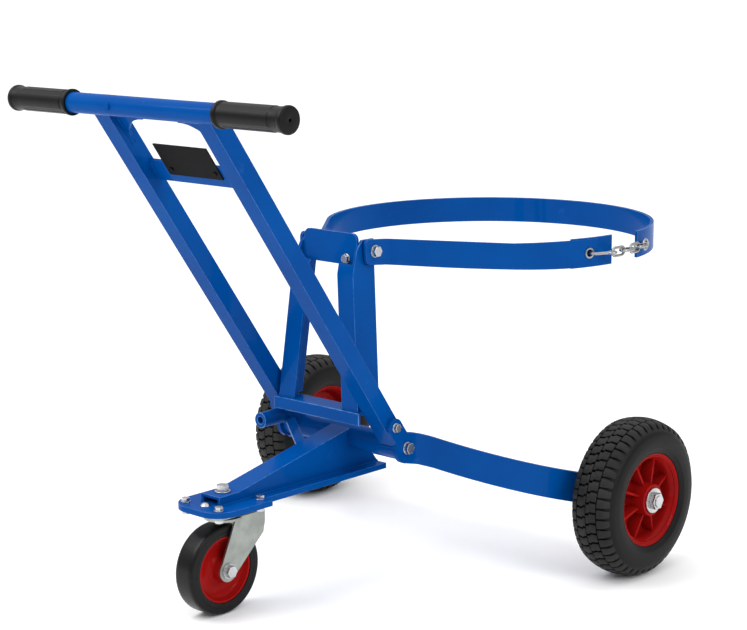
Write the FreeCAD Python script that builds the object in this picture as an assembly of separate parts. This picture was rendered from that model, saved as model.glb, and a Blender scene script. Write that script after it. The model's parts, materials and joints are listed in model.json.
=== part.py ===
import FreeCAD, Part
import math
import os

from FreeCAD import Vector

# Three-wheeled trolley for a round load, in millimetres, +Z up.
# The pieces are drawn about the load's own axis: X = 0 and Y = 0 there, Z = 0 is the floor,
# +X is the operator's right hand and -Y points to the operator. They are moved to the middle of
# the trolley's footprint as they are written.

# Load that the trolley carries
load_diameter = 585.0
load_base_height = 139.0

# Retaining band
band_gap = 10.0
band_thickness = 6.0
band_height = 49.0
band_middle_height = 566.0
band_bend_radius = 25.0
band_bend_angle = 42.0
band_tail_length = 44.0
band_tail_height = 44.0
band_tail_rise = 20.0
band_rise_radius = 2400.0
band_corner_radius = 10.0
packer_least = 2.0
packer_reach = 16.0
right_band_end_angle = -12.0
left_band_end_angle = 10.0
tongue_thickness = 3.5
tongue_height = 53.0
tongue_start_angle = -22.0
tongue_end_angle = -4.0

# Handle frame, drawn upright about the pivot tube and then leaned back
leg_angle = 55.1
leg_width = 35.0
leg_depth = 32.0
leg_wall = 3.0
leg_outer_half_span = 139.0
leg_top_setback = 6.0
handle_height = 856.5
handle_length = 648.0
handle_diameter = 33.7
handle_wall = 3.0
handle_offset = 16.0
grip_length = 149.0
grip_diameter = 39.5
grip_flange_diameter = 43.6
grip_flange_length = 7.0
grip_end_wall = 6.0
grip_end_rounding = 2.8
grip_vent_diameter = 5.0
gusset_along_handle = 62.0
gusset_drop = 37.0
gusset_radius = 58.0
gusset_thickness = 6.0
cross_plate_height = 41.0
cross_plate_drop = 133.0
cross_plate_offset = 8.0
cross_plate_thickness = 6.0
label_width = 128.0
label_height = 64.0
label_thickness = 2.5
label_lift = 17.0
label_rivet_diameter = 4.0
label_rivet_head_height = 1.5
label_rivet_spacing = 104.0
handle_screw_x = -70.0
handle_screw_diameter = 12.0
handle_screw_height = 3.5

# Pivot tube across the feet of the legs
pivot_gap = 103.5
pivot_height = 248.0
pivot_diameter = 42.0
pivot_bore = 12.0

# Cross angle, uprights and head plate
angle_front_setback = 76.0
angle_lift = 67.5
angle_flange = 42.0
angle_web = 22.0
angle_thickness = 5.0
upright_web = 38.0
upright_flange = 54.5
upright_thickness = 5.0
upright_leg_gap = 7.5
upright_foot_inset = 6.0
upright_head_half_span = 70.0
upright_bolt_setback = 46.0
upright_above_bolt = 20.0
upright_corner_height = 58.0
upright_corner_depth = 30.0
head_plate_setback = 17.0
head_plate_height = 55.0
head_plate_drop = 23.0
head_plate_thickness = 6.0
head_plate_corner_radius = 12.0
head_bolt_x = 41.0
head_bolt_drop = 12.0

# Pin socket at the foot of the left leg, and its brace
socket_diameter = 28.0
socket_bore = 13.0
socket_depth = 45.0
socket_reach = 94.0
socket_lift = 22.0
brace_width = 18.0
brace_thickness = 5.0
brace_head_setback = 24.0
brace_foot_setback = 106.0

# Castor arm and base plate
castor_distance = 298.0
base_plate_top = 191.0
base_plate_thickness = 10.0
nose_half_width = 62.0
nose_reach = 68.0
nose_corner_radius = 42.0
nose_length = 124.0
tail_half_width = 44.0
arm_half_width = 23.0
arm_wall = 5.0
arm_tip_height = 15.0
arm_tip_reach = 28.0
arm_tip_flat = 43.0
arm_peak_height = 77.0
arm_tail_reach = 58.0
tip_bolt_distance = 39.0

# Lower arms and the bar that ties them under the load
lower_arm_thickness = 8.0
lower_arm_height = 55.0
lower_arm_bend_radius = 40.0
lower_arm_tail = 16.0
lower_arm_side_gap = 45.5
arm_bolt_reach = 32.0
ear_radius = 16.0
ear_bolt_distance = 50.0
cross_bar_width = 50.0
cross_bar_thickness = 8.0
cross_bar_distance = 45.0

# Main wheels
axle_setback = 77.0
axle_diameter = 20.0
axle_stick_out = 2.0
tyre_diameter = 282.0
tyre_width = 92.0
tyre_arm_gap = 5.0
tyre_bead_half_width = 36.0
tyre_bulge_height = 29.0
tyre_shoulder_half_width = 33.0
tyre_shoulder_drop = 7.0
rim_seat_diameter = 152.0
rim_flange_diameter = 166.0
rim_flange_thickness = 4.0
rim_wall = 6.0
rim_web_thickness = 6.0
rim_rib_count = 8
rim_rib_thickness = 5.0
rim_rib_depth = 22.0
hub_diameter = 56.0
hub_length = 84.0
bearing_diameter = 42.0
bearing_width = 12.0
bearing_inset = 1.0
spacer_diameter = 30.0
axle_washer_diameter = 45.0
axle_washer_thickness = 3.0

# Castor
castor_trail = 16.0
castor_bolt_spacing_x = 82.0
castor_bolt_spacing_y = 93.0
castor_plate_half_width = 50.0
castor_plate_half_length = 56.0
castor_plate_thickness = 5.0
race_outer_diameter = 58.0
race_inner_diameter = 36.0
race_thickness = 4.0
race_skirt_thickness = 3.0
ball_diameter = 6.0
ball_count = 18
ball_circle_diameter = 44.0
crown_diameter = 66.0
crown_thickness = 4.0
kingpin_diameter = 12.0
kingpin_head_diameter = 24.0
kingpin_head_height = 2.6
fork_gap = 48.0
fork_thickness = 4.0
fork_rear_reach = 70.0
fork_front_setback = 4.0
fork_foot_radius = 19.0
fork_foot_angle = 35.0
castor_tyre_diameter = 155.0
castor_tyre_width = 42.0
castor_tyre_corner_radius = 9.0
castor_rim_seat_diameter = 114.0
castor_rim_wall = 5.0
castor_rim_width = 38.0
castor_web_thickness = 5.0
castor_hub_diameter = 34.0
castor_hub_length = 46.0
castor_bush_diameter = 20.0
castor_axle_diameter = 12.0

# Chain, eye and hook
chain_wire = 5.2
chain_link_length = 37.0
chain_link_width = 20.0
chain_stand_off = 12.0
chain_pair_count = 2
eye_angle = 11.5
eye_mean_radius = 9.0
eye_wire = 4.5
eye_post_diameter = 5.5
hook_hole_angle = -15.5
hook_hole_diameter = 13.0
hook_ring_radius = 6.5
hook_bend_radius = 7.0
hook_tip_depth = 3.5
hook_seat_ring_diameter = 19.0
hook_seat_ring_height = 2.0

# Fits between pieces that turn on each other
running_clearance = 0.05
side_clearance = 0.5
ball_clearance = 0.3
chain_clearance = 0.4

# Fasteners: shank diameter, width across flats, head height, washer diameter, washer thickness
lug_bolt = dict(shank=10.0, flats=17.0, head=7.0, washer=22.0, plate=2.0)
arm_bolt = dict(shank=12.0, flats=18.0, head=7.5, washer=22.0, plate=2.0)
ear_bolt = dict(shank=8.0, flats=13.0, head=5.5, washer=17.0, plate=1.6)
head_bolt = dict(shank=8.0, flats=13.0, head=5.5, washer=17.0, plate=1.6)
castor_bolt = dict(shank=8.0, flats=13.0, head=5.5, washer=17.0, plate=1.6)
tip_bolt = dict(shank=8.0, head=18.0, height=5.0)
kingpin_nut = dict(flats=19.0, height=10.0, washer=27.0, plate=2.5)
axle_nut = dict(flats=27.0, height=9.0, head=12.0)
castor_axle_nut = dict(flats=19.0, height=8.0, washer=27.0, plate=2.5)

X_AXIS = Vector(1, 0, 0)
Y_AXIS = Vector(0, 1, 0)
Z_AXIS = Vector(0, 0, 1)
ORIGIN = Vector(0, 0, 0)


def block(x0, x1, y0, y1, z0, z1):
    """Box between two corners."""
    return Part.makeBox(x1 - x0, y1 - y0, z1 - z0, Vector(x0, y0, z0))


def rod(start, end, radius):
    """Round bar from one point to another."""
    axis = end.sub(start)
    return Part.makeCylinder(radius, axis.Length, start, axis)


def pipe(start, end, outer, inner):
    """Round tube from one point to another."""
    return rod(start, end, outer).cut(rod(start, end, inner))


def hexagon(start, end, flats):
    """Six-sided bar from one point to another, given its width across the flats."""
    axis = end.sub(start)
    corner = flats / math.sqrt(3)
    turn = FreeCAD.Rotation(Z_AXIS, axis)
    points = []
    for step in range(7):
        angle = math.radians(60 * step + 30)
        flat_point = Vector(corner * math.cos(angle), corner * math.sin(angle), 0)
        points.append(start.add(turn.multVec(flat_point)))
    return Part.Face(Part.makePolygon(points)).extrude(axis)


def prism(points, along):
    """Flat outline of straight edges, pushed along a vector."""
    closed = [Vector(*point) for point in points]
    return Part.Face(Part.makePolygon(closed + closed[:1])).extrude(along)


def turned(profile, axis_point, axis):
    """Closed outline of edges, turned once round an axis."""
    return Part.Face(Part.Wire(Part.__sortEdges__(profile))).revolve(axis_point, axis, 360)


def mirrored(shape):
    """The same piece for the other hand."""
    return shape.mirror(ORIGIN, X_AXIS)


def joined(shapes):
    """One solid from pieces that overlap or touch."""
    return shapes[0].multiFuse(shapes[1:]).removeSplitter()


def edges_along(shape, axis):
    """Edges of a shape that run along an axis."""
    return [edge for edge in shape.Edges if abs(edge.tangentAt(edge.FirstParameter).dot(axis)) > 0.9]


def corner_waste(y, z, inward_z, radius, half_length):
    """What is cut away to round the front corner of a plate whose edge runs along X."""
    centre_y = y + radius
    centre_z = z + inward_z * radius
    outside_z = z - inward_z * radius
    square = block(
        -half_length,
        half_length,
        y - radius,
        centre_y,
        min(outside_z, centre_z),
        max(outside_z, centre_z),
    )
    centre_line = (Vector(-half_length, centre_y, centre_z), Vector(half_length, centre_y, centre_z))
    return square.cut(rod(*centre_line, radius))


def bent_strip(point, heading, runs, thickness):
    """Face of a strip seen from above, along straights (length) and bends (radius, degrees to the left)."""
    edges = []
    ends = []
    for side in (thickness / 2, -thickness / 2):
        here = point
        angle = heading
        left = Vector(-math.sin(math.radians(angle)), math.cos(math.radians(angle)), 0)
        last = here.add(left * side)
        ends.append([last])
        for run in runs:
            along = Vector(math.cos(math.radians(angle)), math.sin(math.radians(angle)), 0)
            left = Vector(-along.y, along.x, 0)
            if len(run) == 1:
                here = here.add(along * run[0])
                following = here.add(left * side)
                edges.append(Part.makeLine(last, following))
            else:
                radius, turn = run
                hand = math.copysign(1, turn)
                centre = here.add(left * (radius * hand))
                spoke = left * -hand
                halfway = FreeCAD.Rotation(Z_AXIS, turn / 2).multVec(spoke)
                final = FreeCAD.Rotation(Z_AXIS, turn).multVec(spoke)
                side_radius = radius - side * hand
                following = centre.add(final * side_radius)
                edges.append(Part.Arc(last, centre.add(halfway * side_radius), following).toShape())
                here = centre.add(final * radius)
                angle += turn
            last = following
        ends[-1].append(last)
    for index in (0, 1):
        edges.append(Part.makeLine(ends[0][index], ends[1][index]))
    return Part.Face(Part.Wire(Part.__sortEdges__(edges)))


def bolt_along(seat, away, grip, size, nut=True):
    """Hex bolt and washer whose head lies on a seat, pointing away; the nut grips at the far side."""
    out = Vector(away).normalize()
    washer_top = seat.add(out * size["plate"])
    head_top = washer_top.add(out * size["head"])
    far = seat.sub(out * grip)
    tail = far.sub(out * size["head"]) if nut else far
    shank = rod(tail, washer_top, size["shank"] / 2)
    head = hexagon(washer_top, head_top, size["flats"])
    solids = [
        joined([head, shank]),
        pipe(seat, washer_top, size["washer"] / 2, size["shank"] / 2),
    ]
    if nut:
        solids.append(hexagon(tail, far, size["flats"]).cut(rod(tail, far, size["shank"] / 2)))
    return solids


def stadium_link(centre, along, across, length, width, wire):
    """Chain link of round wire, in the plane of two directions."""
    bow = (width - wire) / 2
    half_straight = length / 2 - wire / 2 - bow
    normal = along.cross(across)
    solids = []
    for hand in (1, -1):
        side = centre.add(across * (bow * hand))
        solids.append(rod(side.sub(along * half_straight), side.add(along * half_straight), wire / 2))
        bend = centre.add(along * (half_straight * hand))
        start = bend.add(across * (-bow * hand))
        section = Part.Face(Part.Wire(Part.makeCircle(wire / 2, start, along)))
        solids.append(section.revolve(bend, normal, 180))
    return joined(solids)


pieces = {}

# Sizes that follow from the ones above
load_radius = load_diameter / 2
band_inner = load_radius + band_gap
band_middle = band_inner + band_thickness / 2
band_outer = band_inner + band_thickness
pivot_y = -(load_radius + pivot_gap)
castor_y = pivot_y - castor_distance
handle_radius = handle_diameter / 2
leg_inner_half_span = leg_outer_half_span - leg_width
upright_foot_half_span = leg_inner_half_span - upright_leg_gap
lean = math.radians(90 - leg_angle)
handle_run = (handle_height - pivot_height + handle_offset * math.sin(lean)) / math.cos(lean)
handle_y = pivot_y - handle_run * math.sin(lean) - handle_offset * math.cos(lean)
pivot_radius = pivot_diameter / 2


def leaned(shape):
    """Piece of the handle frame, drawn upright on the pivot tube, laid back to the operator."""
    moved = shape.copy()
    moved.rotate(ORIGIN, X_AXIS, 90 - leg_angle)
    moved.translate(Vector(0, pivot_y, pivot_height))
    return moved


# Handle tube and grips
handle_half = handle_length / 2 - grip_end_wall
handle_left = Vector(-handle_half, handle_y, handle_height)
handle_right = Vector(handle_half, handle_y, handle_height)
handle_solid = rod(handle_left, handle_right, handle_radius)
handle_bore = rod(handle_left, handle_right, handle_radius - handle_wall)
screw_top = Vector(handle_screw_x, handle_y - handle_radius - handle_screw_height, handle_height)
screw_inside = Vector(handle_screw_x, handle_y - handle_radius / 2, handle_height)
pieces["handle_tube"] = handle_solid.cut(handle_bore)
pieces["handle_screw"] = rod(screw_top, screw_inside, handle_screw_diameter / 2).cut(handle_solid)

grip_start = handle_length / 2 - grip_length
grip_radius = grip_diameter / 2
flange_radius = grip_flange_diameter / 2
grip_ends = [
    rod(
        Vector(start, handle_y, handle_height),
        Vector(start + grip_flange_length, handle_y, handle_height),
        flange_radius,
    )
    for start in (grip_start, handle_length / 2 - grip_flange_length)
]
grip_end_edges = [grip_ends[1].Edges[0], grip_ends[1].Edges[2]]
grip_ends[1] = grip_ends[1].makeFillet(grip_end_rounding, grip_end_edges)
grip_axis_start = Vector(grip_start, handle_y, handle_height)
grip_axis_end = Vector(handle_length / 2, handle_y, handle_height)
grip_body = rod(grip_axis_start, grip_axis_end.sub(X_AXIS * grip_flange_length), grip_radius)
grip_vent = rod(grip_axis_start, grip_axis_end.add(X_AXIS), grip_vent_diameter / 2)
right_grip = joined([grip_body] + grip_ends).cut(handle_solid).cut(grip_vent)
pieces["right_grip"] = right_grip
pieces["left_grip"] = mirrored(right_grip)

# Legs
pivot_left = Vector(-leg_outer_half_span, pivot_y, pivot_height)
pivot_right = Vector(leg_outer_half_span, pivot_y, pivot_height)
pivot_solid = rod(pivot_left, pivot_right, pivot_radius)
leg_end = handle_run - leg_top_setback
leg_block = leaned(
    block(leg_inner_half_span, leg_outer_half_span, -leg_depth / 2, leg_depth / 2, 0, leg_end)
)
leg_hollow = leaned(
    block(
        leg_inner_half_span + leg_wall,
        leg_outer_half_span - leg_wall,
        leg_wall - leg_depth / 2,
        leg_depth / 2 - leg_wall,
        0,
        leg_end,
    )
)
ear_seat = leaned(Part.Vertex(leg_outer_half_span, 0, ear_bolt_distance)).Point
ear_hole = rod(ear_seat, ear_seat.sub(X_AXIS * leg_width), ear_bolt["shank"] / 2)
right_leg = leg_block.cut(leg_hollow).cut(pivot_solid).cut(handle_solid).cut(ear_hole)
pieces["right_leg"] = right_leg
pieces["left_leg"] = mirrored(right_leg)

# Corner gussets, with a concave arc between the handle and the leg
gusset_edge = handle_run - gusset_drop
gusset_near = leg_inner_half_span - gusset_along_handle
arc_start_x = leg_inner_half_span - gusset_radius
arc_share = gusset_radius * (1 - math.sqrt(0.5))
arc_middle = Vector(leg_inner_half_span - arc_share, 0, gusset_edge - arc_share)
gusset_points = [
    Vector(leg_inner_half_span, 0, gusset_edge - gusset_radius),
    Vector(leg_inner_half_span, 0, handle_run),
    Vector(gusset_near, 0, handle_run),
    Vector(gusset_near, 0, gusset_edge),
    Vector(arc_start_x, 0, gusset_edge),
]
gusset_edges = [Part.makeLine(a, b) for a, b in zip(gusset_points, gusset_points[1:])]
gusset_edges.append(Part.Arc(gusset_points[-1], arc_middle, gusset_points[0]).toShape())
gusset_face = Part.Face(Part.Wire(gusset_edges))
gusset_face.translate(Vector(0, -gusset_thickness / 2, 0))
right_gusset = leaned(gusset_face.extrude(Y_AXIS * gusset_thickness)).cut(handle_solid)
pieces["right_gusset"] = right_gusset
pieces["left_gusset"] = mirrored(right_gusset)

# Cross plate with the bare label plate and its rivets
plate_top = handle_run - cross_plate_drop
plate_bottom = plate_top - cross_plate_height
plate_front = cross_plate_offset - cross_plate_thickness / 2
plate_back = plate_front + cross_plate_thickness
label_bottom = plate_bottom + label_lift
label_front = plate_front - label_thickness
rivet_height = (label_bottom + plate_top) / 2
rivet_shanks = []
rivet_heads = []
for hand in (-1, 1):
    rivet_front = Vector(hand * label_rivet_spacing / 2, label_front, rivet_height)
    rivet_back = rivet_front.add(Y_AXIS * (label_thickness + cross_plate_thickness))
    rivet_shanks.append(rod(rivet_front, rivet_back, label_rivet_diameter / 2))
    rivet_top = rivet_front.sub(Y_AXIS * label_rivet_head_height)
    rivet_heads.append(rod(rivet_top, rivet_front, label_rivet_diameter))
cross_plate = block(
    -leg_inner_half_span, leg_inner_half_span, plate_front, plate_back, plate_bottom, plate_top
)
label_plate = block(
    -label_width / 2, label_width / 2, label_front, plate_front, label_bottom, label_bottom + label_height
)
for shank in rivet_shanks:
    cross_plate = cross_plate.cut(shank)
    label_plate = label_plate.cut(shank)
pieces["cross_plate"] = leaned(cross_plate)
pieces["label_plate"] = leaned(label_plate)
pieces["label_rivets"] = Part.makeCompound(
    [leaned(joined([shank, head])) for shank, head in zip(rivet_shanks, rivet_heads)]
)

# Pivot tube, bored for the bolts of the lower arms
pieces["pivot_tube"] = pivot_solid.cut(rod(pivot_left, pivot_right, pivot_bore / 2))

# Cross angle between the feet of the legs
angle_front = pivot_y - angle_front_setback
angle_top = pivot_height + angle_lift
angle_profile = [
    (-leg_inner_half_span, angle_front, angle_top),
    (-leg_inner_half_span, angle_front + angle_flange, angle_top),
    (-leg_inner_half_span, angle_front + angle_flange, angle_top - angle_thickness),
    (-leg_inner_half_span, angle_front + angle_thickness, angle_top - angle_thickness),
    (-leg_inner_half_span, angle_front + angle_thickness, angle_top - angle_web),
    (-leg_inner_half_span, angle_front, angle_top - angle_web),
]
pieces["cross_angle"] = prism(angle_profile, X_AXIS * (2 * leg_inner_half_span))

# Band: a tail bolted to the upright, a bend, a straight run and an arc about the load.
# It is level round the load and rises in an easy curve along the run to the bolt.
lug_height = band_middle_height + band_tail_rise
upright_rise = lug_height - angle_top
splay = (upright_foot_half_span - upright_head_half_span) / upright_rise
tail_inner_face = upright_head_half_span + splay * band_tail_height / 2 + packer_least
tail_x = tail_inner_face + band_thickness / 2
bend = math.radians(band_bend_angle)
run_length = (
    band_middle * math.cos(bend) - tail_x - band_bend_radius * (1 - math.cos(bend))
) / math.sin(bend)
tangent_y = -band_middle * math.sin(bend)
bend_y = tangent_y - run_length * math.cos(bend) - band_bend_radius * math.sin(bend)
tail_front = bend_y - band_tail_length
lug_bolt_y = bend_y - band_tail_length / 2
band_low = band_middle_height - band_height / 2
band_high = band_middle_height + band_height / 2
tail_low = lug_height - band_tail_height / 2
tail_high = lug_height + band_tail_height / 2
lug_bolt_at = Vector(tail_inner_face + band_thickness, lug_bolt_y, lug_height)
band_reach = 2 * band_outer
band_heights = prism(
    [
        (-band_reach, band_reach, band_low),
        (-band_reach, tangent_y, band_low),
        (-band_reach, tail_front, tail_low),
        (-band_reach, tail_front, tail_high),
        (-band_reach, tangent_y, band_high),
        (-band_reach, band_reach, band_high),
    ],
    X_AXIS * (2 * band_reach),
)
rise_edges = [edge for edge in edges_along(band_heights, X_AXIS) if abs(edge.CenterOfMass.y - tangent_y) < 1]
band_heights = band_heights.makeFillet(band_rise_radius, rise_edges)


def band_arm(end_angle):
    """One arm of the band, from its bolted tail to an angle round the load."""
    runs = [
        (band_tail_length,),
        (band_bend_radius, -band_bend_angle),
        (run_length,),
        (band_middle, band_bend_angle + end_angle),
    ]
    strip = bent_strip(Vector(tail_x, tail_front, 0), 90, runs, band_thickness)
    arm = strip.extrude(Z_AXIS * (2 * lug_height)).common(band_heights)
    for height, inward in ((tail_low, 1), (tail_high, -1)):
        arm = arm.cut(corner_waste(tail_front, height, inward, band_corner_radius, 2 * tail_x))
    return arm.cut(rod(lug_bolt_at, lug_bolt_at.sub(X_AXIS * 2 * band_thickness), lug_bolt["shank"] / 2))


def round_load(angle, radius, height):
    """Point at an angle round the load."""
    turn = math.radians(angle)
    return Vector(radius * math.cos(turn), radius * math.sin(turn), height)


hook_hole_back = round_load(hook_hole_angle, load_radius, band_middle_height)
hook_hole_front = round_load(hook_hole_angle, band_outer + band_gap, band_middle_height)
hook_hole = rod(hook_hole_back, hook_hole_front, hook_hole_diameter / 2)
pieces["right_band"] = band_arm(right_band_end_angle).cut(hook_hole)
pieces["left_band"] = mirrored(band_arm(180 - left_band_end_angle))

tongue_low = band_middle_height - tongue_height / 2
tongue_start = round_load(tongue_start_angle, band_inner - tongue_thickness / 2, tongue_low)
tongue_face = bent_strip(
    tongue_start,
    tongue_start_angle + 90,
    [(band_inner - tongue_thickness / 2, tongue_end_angle - tongue_start_angle)],
    tongue_thickness,
)
pieces["band_tongue"] = tongue_face.extrude(Z_AXIS * tongue_height)

# Uprights: angle section, standing on the cross angle, splayed at the foot and leaning to the load
upright_foot_front = angle_front + upright_foot_inset
upright_head_front = lug_bolt_y - upright_bolt_setback
upright_slope = (upright_head_front - upright_foot_front) / upright_rise
upright_height = upright_rise + upright_above_bolt
upright_top = angle_top + upright_height
upright_push = Vector(-splay * upright_height, upright_slope * upright_height, upright_height)
foot_outer = upright_foot_half_span
foot_inner = upright_foot_half_span - upright_web
foot_back = upright_foot_front + upright_flange
upright_profile = [
    (foot_inner, upright_foot_front, angle_top),
    (foot_outer, upright_foot_front, angle_top),
    (foot_outer, foot_back, angle_top),
    (foot_outer - upright_thickness, foot_back, angle_top),
    (foot_outer - upright_thickness, upright_foot_front + upright_thickness, angle_top),
    (foot_inner, upright_foot_front + upright_thickness, angle_top),
]
corner_low = upright_top - upright_corner_height
corner_front = upright_foot_front + upright_slope * (corner_low - angle_top)
corner_points = [
    (0, corner_front - upright_corner_depth, corner_low),
    (0, corner_front, corner_low),
    (0, corner_front + upright_corner_depth / 2, upright_top - upright_corner_height / 4),
    (0, corner_front + upright_corner_depth, upright_top),
    (0, corner_front - upright_corner_depth, upright_top),
]
upright_corner = prism(corner_points, X_AXIS * foot_outer)
lug_grip = tail_inner_face + band_thickness - upright_head_half_span
lug_grip += upright_thickness + splay * lug_bolt["flats"]
lug_hole = rod(lug_bolt_at, lug_bolt_at.sub(X_AXIS * 2 * lug_grip), lug_bolt["shank"] / 2)
right_upright = prism(upright_profile, upright_push).cut(upright_corner).cut(lug_hole)
pieces["right_upright"] = right_upright
pieces["left_upright"] = mirrored(right_upright)


def inside_upright(face_x):
    """Everything on the inner side of a plane that leans with the right upright."""
    near = upright_foot_front - 2 * upright_flange
    far = foot_back + 2 * upright_flange
    plan = [(-2 * foot_outer, near), (face_x, near), (face_x, far), (-2 * foot_outer, far)]
    return prism([(x, y, angle_top) for x, y in plan], upright_push * 2)


# Tapered packers between the uprights and the tails of the band
packer = block(
    upright_head_half_span - upright_thickness,
    tail_inner_face,
    lug_bolt_y - packer_reach,
    lug_bolt_y + upright_flange - upright_bolt_setback,
    lug_height - packer_reach,
    lug_height + packer_reach,
)
right_packer = packer.cut(inside_upright(foot_outer)).cut(lug_hole)
pieces["right_packer"] = right_packer
pieces["left_packer"] = mirrored(right_packer)
right_lug_bolt = bolt_along(lug_bolt_at, X_AXIS, lug_grip, lug_bolt)
pieces["lug_bolts"] = Part.makeCompound(right_lug_bolt + [mirrored(solid) for solid in right_lug_bolt])

# Head plate, leaning with the uprights and fixed between their flanges
head_tilt = math.atan(upright_slope)
head_run = upright_rise / math.cos(head_tilt)
head_low = head_run - head_plate_drop
head_back = head_plate_setback + head_plate_thickness
head_bolt_seat = Vector(head_bolt_x, head_plate_setback, head_run - head_bolt_drop)
head_bolt_end = head_bolt_seat.add(Y_AXIS * head_plate_thickness)


def on_uprights(shape):
    """Piece drawn upright against the front of the uprights, leaned with them."""
    moved = shape.copy()
    moved.rotate(ORIGIN, X_AXIS, -math.degrees(head_tilt))
    moved.translate(Vector(0, upright_foot_front, angle_top))
    return moved


head_block = block(
    -foot_outer,
    foot_outer,
    head_plate_setback,
    head_back,
    head_low,
    head_low + head_plate_height,
)
between_flanges = inside_upright(foot_outer - upright_thickness)
head_plate = on_uprights(head_block).common(between_flanges).common(mirrored(between_flanges))
head_plate = head_plate.makeFillet(head_plate_corner_radius, edges_along(head_plate, Y_AXIS))
head_bolt_hole = on_uprights(rod(head_bolt_seat, head_bolt_end, head_bolt["shank"] / 2))
pieces["head_plate"] = head_plate.cut(head_bolt_hole)
head_bolt_solids = bolt_along(head_bolt_seat, Vector(0, -1, 0), head_plate_thickness, head_bolt)
pieces["head_bolt"] = Part.makeCompound([on_uprights(solid) for solid in head_bolt_solids])

# Pin socket on the left leg
socket_x = -(leg_outer_half_span + leg_inner_half_span) / 2
socket_z = pivot_height + socket_lift
socket_mouth = Vector(socket_x, pivot_y - socket_reach, socket_z)
socket_root = Vector(socket_x, pivot_y - leg_depth / 2, socket_z)
socket_bar = rod(socket_mouth, socket_root, socket_diameter / 2)
left_leg_block = mirrored(leg_block)
socket_hole = rod(socket_mouth, socket_mouth.add(Y_AXIS * socket_depth), socket_bore / 2)
pieces["pin_socket"] = socket_bar.cut(left_leg_block).cut(pivot_solid).cut(socket_hole)

# Base plate with a rounded nose for the castor
plate_low = base_plate_top - base_plate_thickness
nose_front = castor_y - nose_reach
nose_back = nose_front + nose_length
arm_rear = pivot_y + arm_tail_reach
nose = block(-nose_half_width, nose_half_width, nose_front, nose_back, plate_low, base_plate_top)
nose_edges = [edge for edge in edges_along(nose, Z_AXIS) if edge.CenterOfMass.y < castor_y]
nose = nose.makeFillet(nose_corner_radius, nose_edges)
tail = block(-tail_half_width, tail_half_width, nose_back, arm_rear, plate_low, base_plate_top)
castor_plate_low = plate_low - castor_plate_thickness
king_top = base_plate_top + arm_tip_height
king_radius = kingpin_diameter / 2
king_hole = rod(Vector(0, castor_y, 0), Vector(0, castor_y, king_top), king_radius)
castor_seats = [
    Vector(side_x * castor_bolt_spacing_x / 2, castor_y + side_y * castor_bolt_spacing_y / 2, base_plate_top)
    for side_x in (-1, 1)
    for side_y in (-1, 1)
]
castor_grip = base_plate_thickness + castor_plate_thickness
castor_holes = [
    rod(seat, seat.sub(Z_AXIS * castor_grip), castor_bolt["shank"] / 2) for seat in castor_seats
]
tip_seat = Vector(0, castor_y - tip_bolt_distance, base_plate_top)
tip_hole = rod(tip_seat, tip_seat.sub(Z_AXIS * base_plate_thickness), tip_bolt["shank"] / 2)
base_plate = joined([nose, tail])
pieces["base_plate"] = base_plate.cut(king_hole).cut(Part.makeCompound(castor_holes)).cut(tip_hole)
tip_dome_radius = (tip_bolt["head"] ** 2 / 4 + tip_bolt["height"] ** 2) / (2 * tip_bolt["height"])
tip_dome = Part.makeSphere(tip_dome_radius, tip_seat.add(Z_AXIS * (tip_bolt["height"] - tip_dome_radius)))
tip_dome = tip_dome.common(rod(tip_seat, tip_seat.add(Z_AXIS * tip_bolt["head"]), tip_bolt["head"]))
pieces["tip_bolt"] = joined([tip_dome, tip_hole])

# Castor arm: folded channel, open below and at the tip, tapering from the pivot tube to the nose
arm_tip = castor_y - arm_tip_reach
arm_slope_start = arm_tip + arm_tip_flat
arm_peak = base_plate_top + arm_peak_height


def arm_outline(inset, half_width):
    """Side outline of the castor arm, inset by a wall at the top and rear, pushed to a width."""
    points = [
        (-half_width, arm_tip - inset, base_plate_top),
        (-half_width, arm_tip - inset, king_top - inset),
        (-half_width, arm_slope_start, king_top - inset),
        (-half_width, pivot_y, arm_peak - inset),
        (-half_width, arm_rear - inset, base_plate_top),
    ]
    return prism(points, X_AXIS * (2 * half_width))


arm_solid = arm_outline(0, arm_half_width)
castor_arm = arm_solid.cut(arm_outline(arm_wall, arm_half_width - arm_wall))
pieces["castor_arm"] = castor_arm.cut(pivot_solid).cut(king_hole)

# Brace from the root of the pin socket, forward and down to the castor arm
arm_slope = (arm_peak - king_top) / (pivot_y - arm_slope_start)
brace_foot_y = pivot_y - brace_foot_setback
brace_foot_z = king_top + arm_slope * (brace_foot_y - arm_slope_start) - arm_wall
brace_head = Vector(socket_x, pivot_y - brace_head_setback, socket_z)
brace_foot = Vector(0, brace_foot_y, brace_foot_z)
brace_side = Z_AXIS.cross(brace_foot.sub(brace_head)).normalize() * brace_width
brace_drop = Z_AXIS * brace_thickness
brace_points = [
    brace_head.sub(brace_side * 0.5),
    brace_foot.sub(brace_side * 0.5),
    brace_foot.sub(brace_side * 0.5).sub(brace_drop),
    brace_head.sub(brace_side * 0.5).sub(brace_drop),
]
brace = prism(brace_points, brace_side)
pieces["socket_brace"] = brace.cut(socket_bar).cut(left_leg_block).cut(arm_solid)

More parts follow.
